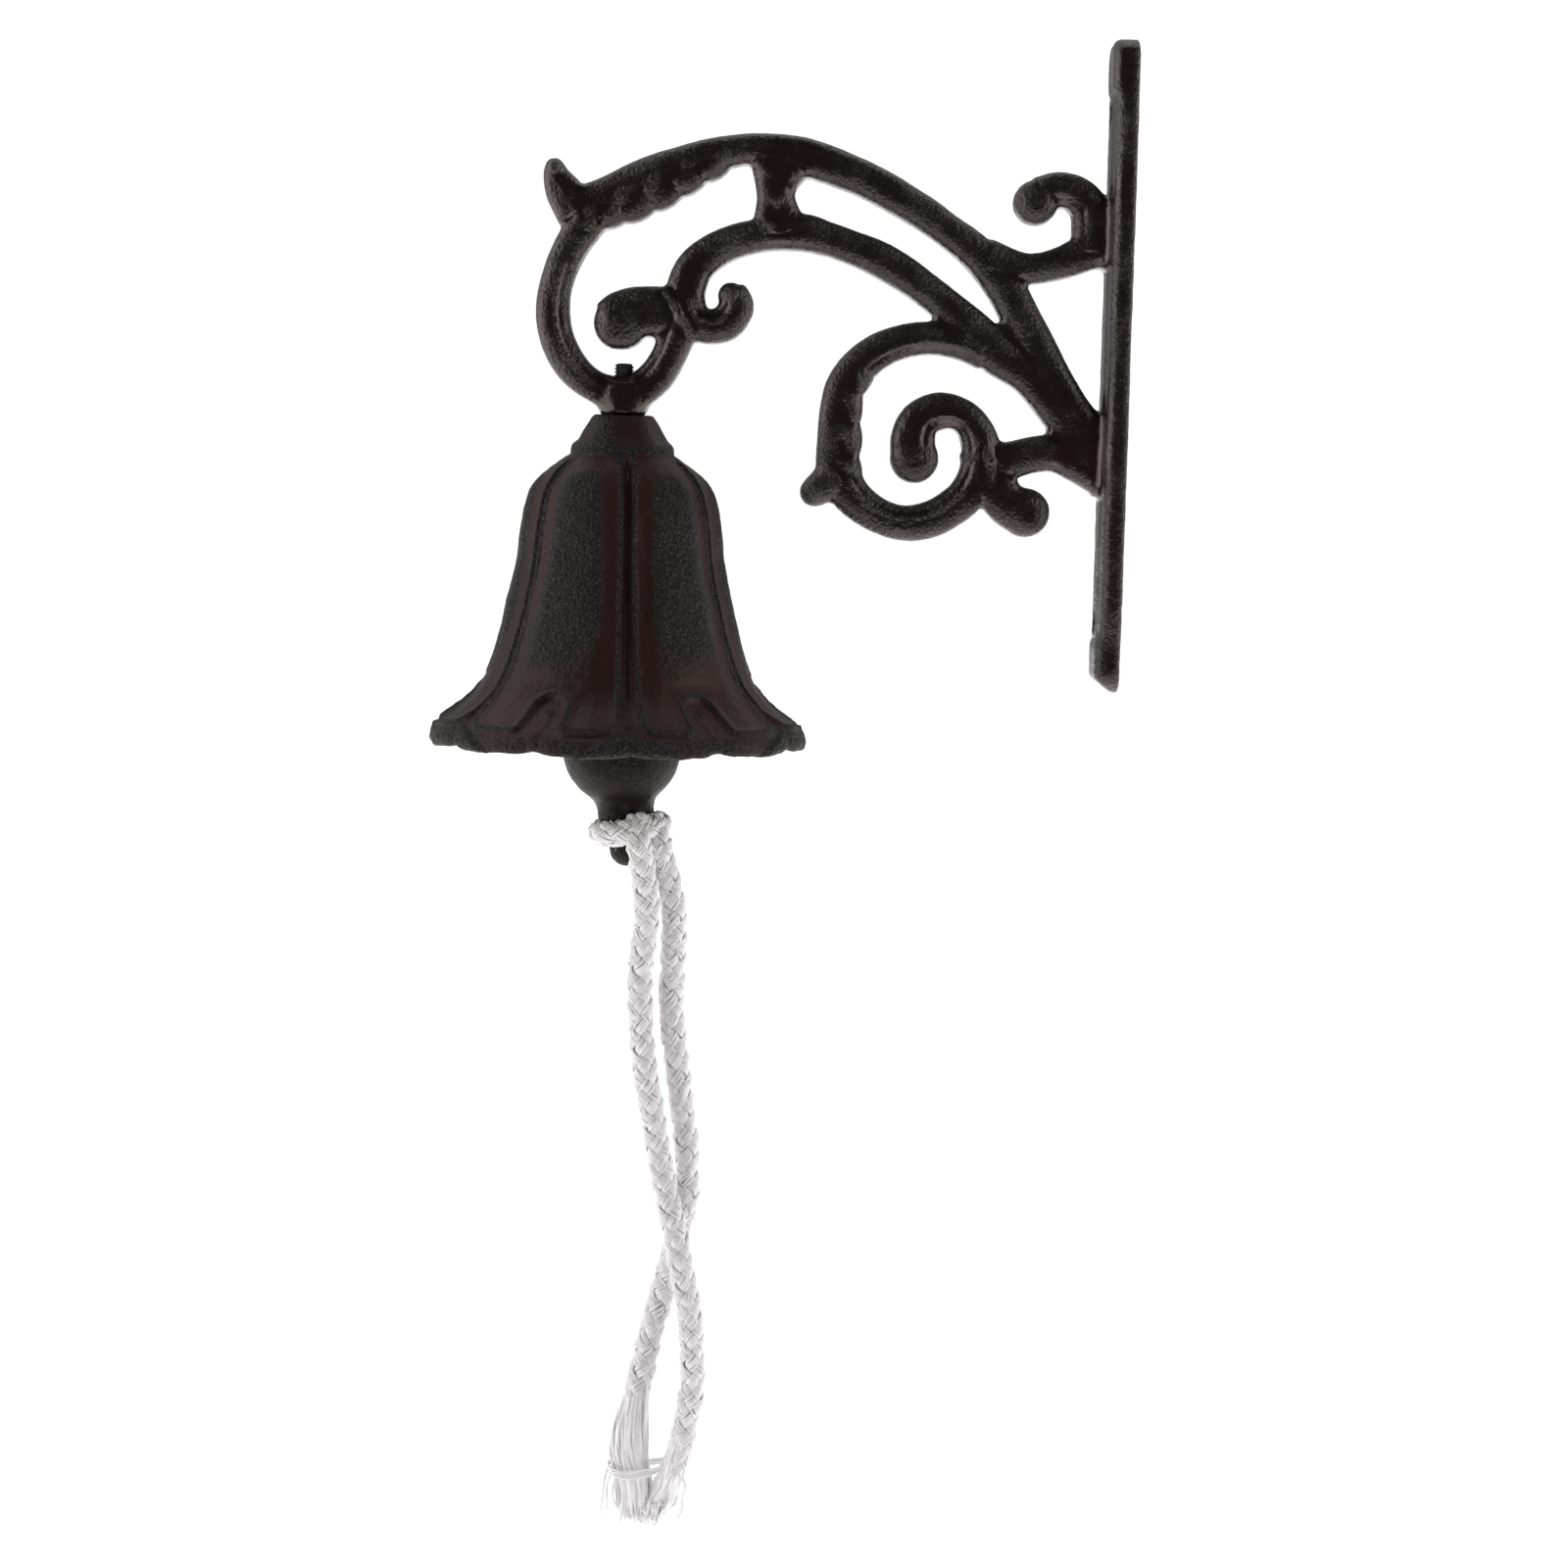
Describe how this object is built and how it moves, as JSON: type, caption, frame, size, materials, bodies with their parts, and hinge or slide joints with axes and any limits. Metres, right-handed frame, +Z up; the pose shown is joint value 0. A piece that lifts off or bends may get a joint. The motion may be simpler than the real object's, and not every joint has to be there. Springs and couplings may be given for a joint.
{
  "type": "wall mounted bell",
  "caption": "Scrolled cast wall bracket carrying a flower-shaped bell with a swinging clapper and a looped pull rope.",
  "frame": {"origin": "half-way between the two screw holes, on the plate's back face, where it meets the wall", "axes": "+Z up along the wall plate, +Y into the wall, so the arm reaches out along -Y; X is across the thin bracket"},
  "size_m": [0.096, 0.175, 0.3856],
  "materials": {
    "bracket_iron": "dark brown lacquered cast iron, fine sand grain, satin",
    "bell_iron": "dark brown lacquered cast iron, reddish in the hollows, satin",
    "clapper_iron": "dark brown lacquered cast iron, fine sand grain",
    "bolt_steel": "blackened steel",
    "cotton_rope": "off-white braided cotton",
    "cotton_yarn": "off-white loose cotton yarn"
  },
  "bodies": {
    "frame": {"bracket": "bracket_iron", "bell": "bell_iron", "eye_bolt": "bolt_steel", "crown_washer": "bolt_steel", "lock_nut": "bolt_steel"},
    "link": {"clapper_link": "bolt_steel"},
    "clapper": {"clapper": "clapper_iron", "rope_hitch": "cotton_rope", "rope_leg_left": "cotton_rope", "rope_leg_right": "cotton_rope", "frayed_end_left": "cotton_yarn", "frayed_end_right": "cotton_yarn", "tie_thread": "cotton_yarn"}
  },
  "joints": [
    {"name": "link_swing", "type": "hinge", "parent": "frame", "child": "link", "pos_m": [0, -0.127, -0.042], "axis": [0, 1, 0], "range_deg": [-8, 8]},
    {"name": "clapper_swing", "type": "hinge", "parent": "link", "child": "clapper", "pos_m": [0, -0.127, -0.0547], "axis": [1, 0, 0], "range_deg": [-25, 22]}
  ]
}
